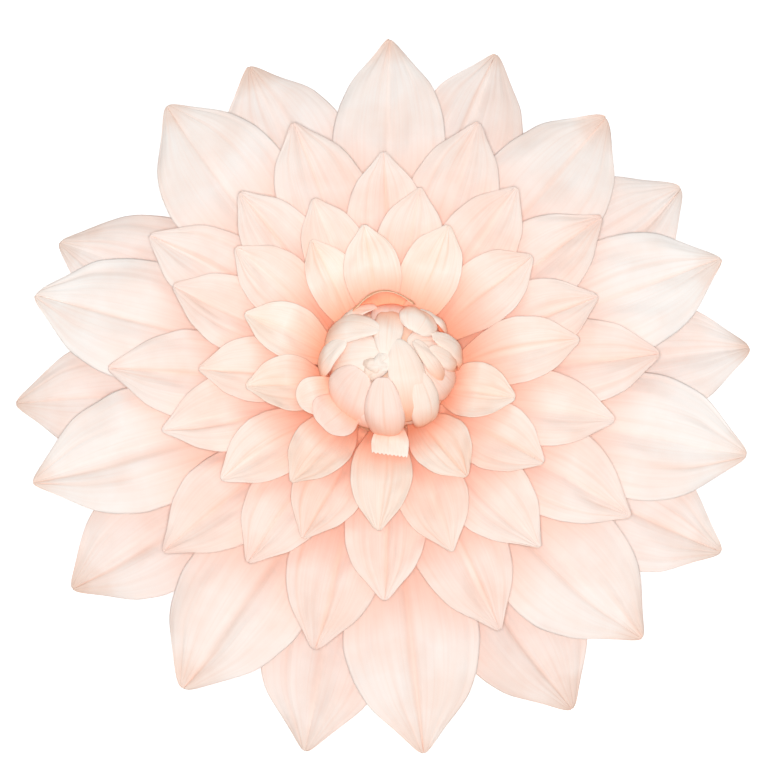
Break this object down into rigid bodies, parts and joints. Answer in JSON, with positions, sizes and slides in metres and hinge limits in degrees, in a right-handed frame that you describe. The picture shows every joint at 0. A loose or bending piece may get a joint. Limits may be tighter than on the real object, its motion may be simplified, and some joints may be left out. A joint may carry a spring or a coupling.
{
  "type": "giant paper flower",
  "caption": "Large paper dahlia with rings of pointed, creased petals round a half-open bud, flat at the back.",
  "frame": {"origin": "centre of the flat back, on the surface that the flower lies on", "axes": "+Z out of the back along the flower's axis, through the bud; +Y towards the top of the picture"},
  "size_m": [0.5074, 0.502, 0.1065],
  "materials": {
    "outer_paper": "matte",
    "middle_paper": "matte",
    "inner_paper": "matte",
    "core_card": "matte"
  },
  "bodies": {
    "root": {"back_petal_01": "outer_paper", "back_petal_02": "outer_paper", "back_petal_03": "outer_paper", "back_petal_04": "outer_paper", "back_petal_05": "outer_paper", "back_petal_06": "outer_paper", "back_petal_07": "outer_paper", "back_petal_08": "outer_paper", "back_petal_09": "outer_paper", "back_petal_10": "outer_paper", "outer_petal_01": "outer_paper", "outer_petal_02": "outer_paper", "outer_petal_03": "outer_paper", "outer_petal_04": "outer_paper", "outer_petal_05": "outer_paper", "outer_petal_06": "outer_paper", "outer_petal_07": "outer_paper", "outer_petal_08": "outer_paper", "outer_petal_09": "outer_paper", "outer_petal_10": "outer_paper", "middle_petal_01": "middle_paper", "middle_petal_02": "middle_paper", "middle_petal_03": "middle_paper", "middle_petal_04": "middle_paper", "middle_petal_05": "middle_paper", "middle_petal_06": "middle_paper", "middle_petal_07": "middle_paper", "middle_petal_08": "middle_paper", "middle_petal_09": "middle_paper", "middle_petal_10": "middle_paper", "inner_petal_01": "middle_paper", "inner_petal_02": "middle_paper", "inner_petal_03": "middle_paper", "inner_petal_04": "middle_paper", "inner_petal_05": "middle_paper", "inner_petal_06": "middle_paper", "inner_petal_07": "middle_paper", "inner_petal_08": "middle_paper", "inner_petal_09": "middle_paper", "inner_petal_10": "middle_paper", "upper_petal_01": "inner_paper", "upper_petal_02": "inner_paper", "upper_petal_03": "inner_paper", "upper_petal_04": "inner_paper", "upper_petal_05": "inner_paper", "upper_petal_06": "inner_paper", "upper_petal_07": "inner_paper", "upper_petal_08": "inner_paper", "upper_petal_09": "inner_paper", "upper_petal_10": "inner_paper", "collar_petal_01": "inner_paper", "collar_petal_02": "inner_paper", "collar_petal_04": "inner_paper", "collar_petal_05": "inner_paper", "collar_petal_06": "inner_paper", "collar_petal_07": "inner_paper", "collar_petal_08": "inner_paper", "collar_petal_09": "inner_paper", "collar_petal_10": "inner_paper", "flower_core": "core_card"}
  },
  "joints": []
}
